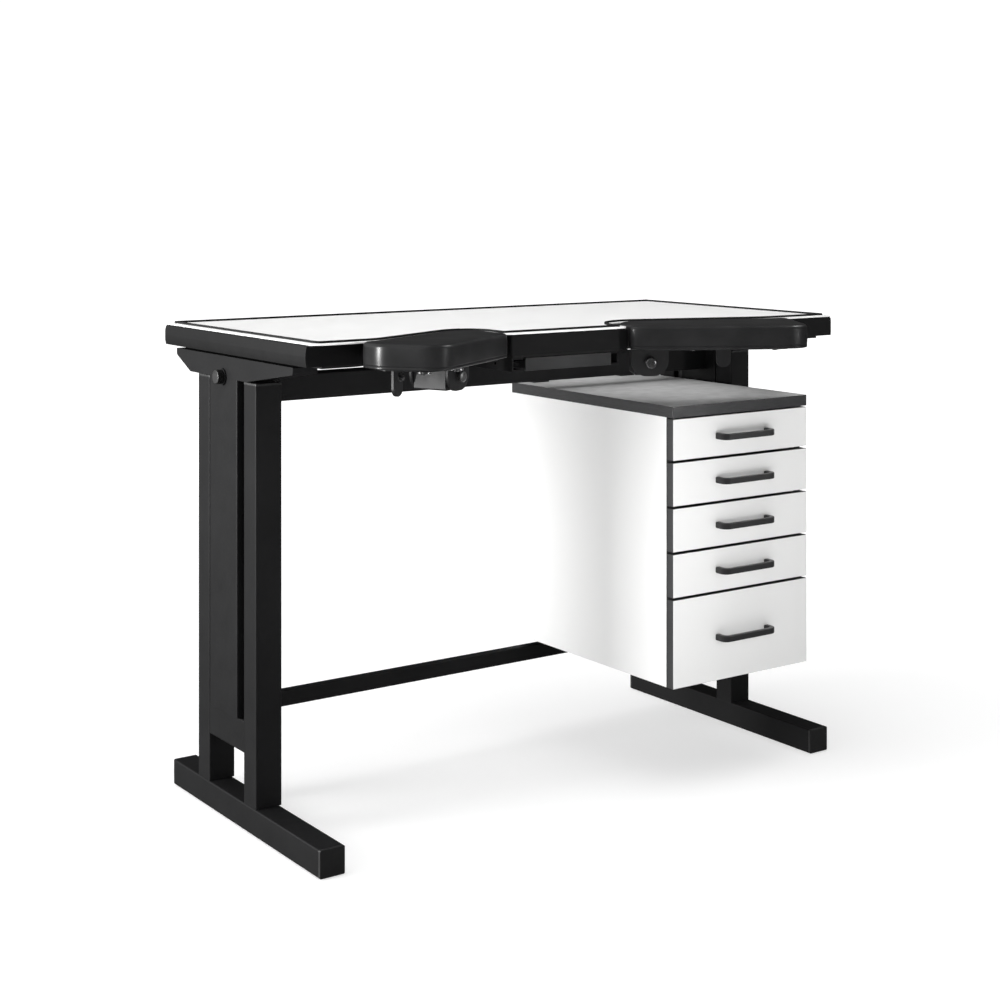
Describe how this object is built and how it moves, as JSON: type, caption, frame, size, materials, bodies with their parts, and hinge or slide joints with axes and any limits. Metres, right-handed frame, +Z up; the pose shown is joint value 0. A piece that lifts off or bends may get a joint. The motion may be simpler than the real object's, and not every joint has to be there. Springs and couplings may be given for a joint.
{
  "type": "height-adjustable workbench with armrests and drawers",
  "caption": "Height-adjustable bench with two tilting padded armrests set in its front edge, a sliding catch tray and a hanging drawer cabinet.",
  "frame": {"origin": "centre of the whole bench in plan, on the floor", "axes": "+X along the worktop's long side to the user's right, +Y away from the user, +Z up"},
  "size_m": [1.275, 0.7995, 0.931],
  "materials": {
    "frame_black": "fine-textured satin powder coat",
    "armrest_steel": "satin black paint",
    "cap_plastic": "moulded, matte",
    "knob_plastic": "moulded, satin",
    "plated_steel": "zinc plated",
    "slide_steel": "zinc plated",
    "board_core": "dark laminated board",
    "edging_black": "satin edging",
    "top_white": "smooth satin laminate",
    "bead_black": "soft matte bead",
    "pad_black": "black leatherette with a soft sheen",
    "tray_grey": "smooth dark grey paint",
    "cabinet_top_grey": "light laminate with a dark edge",
    "cabinet_side": "white laminate with dark edges",
    "front_white": "white laminate with dark edges",
    "drawer_wood": "pale lacquered board with steel slides",
    "handle_black": "satin black paint"
  },
  "bodies": {
    "base": {"left_foot": "frame_black", "right_foot": "frame_black", "foot_caps": "cap_plastic", "levelling_glides": "cap_plastic", "left_front_upright": "frame_black", "left_rear_upright": "frame_black", "right_front_upright": "frame_black", "right_rear_upright": "frame_black", "upright_caps": "cap_plastic", "left_leg_tie": "frame_black", "right_leg_tie": "frame_black", "guide_strips": "cap_plastic", "crossbar": "frame_black", "crossbar_bolts": "plated_steel"},
    "top": {"left_column": "frame_black", "right_column": "frame_black", "left_top_bracket": "frame_black", "right_top_bracket": "frame_black", "bracket_screws": "plated_steel", "upper_beam": "frame_black", "knob_washers": "frame_black", "worktop_board": "board_core", "worktop_edging": "edging_black", "worktop_backing": "edging_black", "worktop_surface": "top_white", "worktop_rim": "top_white", "worktop_bead": "bead_black", "tray_rails": "frame_black", "left_armrest_bracket": "armrest_steel", "right_armrest_bracket": "armrest_steel", "armrest_bolts": "plated_steel", "cabinet_top": "cabinet_top_grey", "cabinet_left_side": "cabinet_side", "cabinet_right_side": "cabinet_side", "cabinet_back": "cabinet_side", "cabinet_bottom": "cabinet_side", "cabinet_runners": "slide_steel", "cabinet_hangers": "frame_black"},
    "left_knob": {"left_lock_knob": "knob_plastic"},
    "right_knob": {"right_lock_knob": "knob_plastic"},
    "left_armrest": {"left_armrest_pad": "pad_black", "left_armrest_carrier": "armrest_steel"},
    "right_armrest": {"right_armrest_pad": "pad_black", "right_armrest_carrier": "armrest_steel"},
    "tray": {"catch_tray": "tray_grey"},
    "drawer_1": {"drawer_1_front": "front_white", "drawer_1_box": "drawer_wood", "drawer_1_handle": "handle_black"},
    "drawer_2": {"drawer_2_front": "front_white", "drawer_2_box": "drawer_wood", "drawer_2_handle": "handle_black"},
    "drawer_3": {"drawer_3_front": "front_white", "drawer_3_box": "drawer_wood", "drawer_3_handle": "handle_black"},
    "drawer_4": {"drawer_4_front": "front_white", "drawer_4_box": "drawer_wood", "drawer_4_handle": "handle_black"},
    "drawer_5": {"drawer_5_front": "front_white", "drawer_5_box": "drawer_wood", "drawer_5_handle": "handle_black"}
  },
  "joints": [
    {"name": "lift", "type": "slide", "parent": "base", "child": "top", "axis": [0, 0, 1], "range_m": [0, 0.25]},
    {"name": "left_knob_turn", "type": "hinge", "parent": "top", "child": "left_knob", "pos_m": [-0.6215, 0.152, 0.84], "axis": [-1, 0, 0], "range_deg": [0, 360]},
    {"name": "right_knob_turn", "type": "hinge", "parent": "top", "child": "right_knob", "pos_m": [0.6215, 0.152, 0.84], "axis": [1, 0, 0], "range_deg": [0, 360]},
    {"name": "left_armrest_tilt", "type": "hinge", "parent": "top", "child": "left_armrest", "pos_m": [-0.317, -0.197, 0.8525], "axis": [-0.4226, 0.9063, 0], "range_deg": [-4, 4]},
    {"name": "right_armrest_tilt", "type": "hinge", "parent": "top", "child": "right_armrest", "pos_m": [0.131, -0.206, 0.8525], "axis": [0.515, 0.8572, 0], "range_deg": [-4, 4]},
    {"name": "tray_slide", "type": "slide", "parent": "top", "child": "tray", "axis": [0, -1, 0], "range_m": [0, 0.2]},
    {"name": "drawer_1_slide", "type": "slide", "parent": "top", "child": "drawer_1", "axis": [0, -1, 0], "range_m": [0, 0.4]},
    {"name": "drawer_2_slide", "type": "slide", "parent": "top", "child": "drawer_2", "axis": [0, -1, 0], "range_m": [0, 0.4]},
    {"name": "drawer_3_slide", "type": "slide", "parent": "top", "child": "drawer_3", "axis": [0, -1, 0], "range_m": [0, 0.4]},
    {"name": "drawer_4_slide", "type": "slide", "parent": "top", "child": "drawer_4", "axis": [0, -1, 0], "range_m": [0, 0.4]},
    {"name": "drawer_5_slide", "type": "slide", "parent": "top", "child": "drawer_5", "axis": [0, -1, 0], "range_m": [0, 0.4]}
  ]
}
